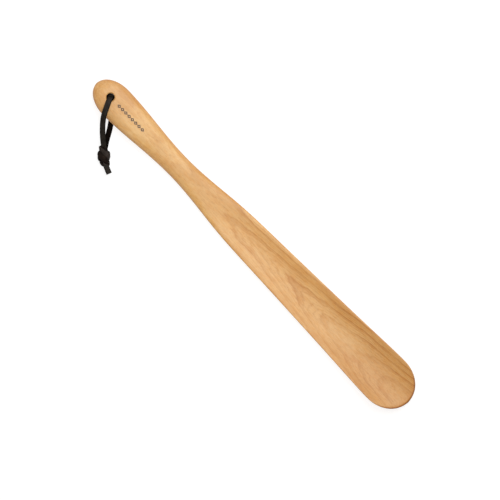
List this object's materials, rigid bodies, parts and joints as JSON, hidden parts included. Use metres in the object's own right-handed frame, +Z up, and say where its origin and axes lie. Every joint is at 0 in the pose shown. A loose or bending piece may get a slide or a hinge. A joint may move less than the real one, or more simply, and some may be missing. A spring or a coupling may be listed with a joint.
{
  "type": "long shoehorn",
  "caption": "Slim wooden shoehorn with an oval handle, a long concave blade and a knotted leather hanging lace.",
  "frame": {"origin": "under the middle of the horn's length, on the surface that the horn lies on with its hollow side up", "axes": "+X from the end of the handle to the tip of the blade, +Y across, +Z up out of the blade's channel"},
  "size_m": [0.38, 0.0711, 0.0177],
  "materials": {
    "beech": "fine-sanded beech with a thin satin oil, pale tan with short brown flecks",
    "leather": "dark brown-black flat leather lace with raw cut edges"
  },
  "bodies": {
    "horn": {"horn_body": "beech"},
    "lanyard": {"lace_front_strand": "leather", "lace_back_strand": "leather", "lace_knot": "leather", "lace_tail_front": "leather", "lace_tail_back": "leather"}
  },
  "joints": [
    {"name": "lanyard_swing", "type": "hinge", "parent": "horn", "child": "lanyard", "pos_m": [-0.1728, 0, 0.0095], "axis": [0, 0, 1], "range_deg": [-250, 12]}
  ]
}
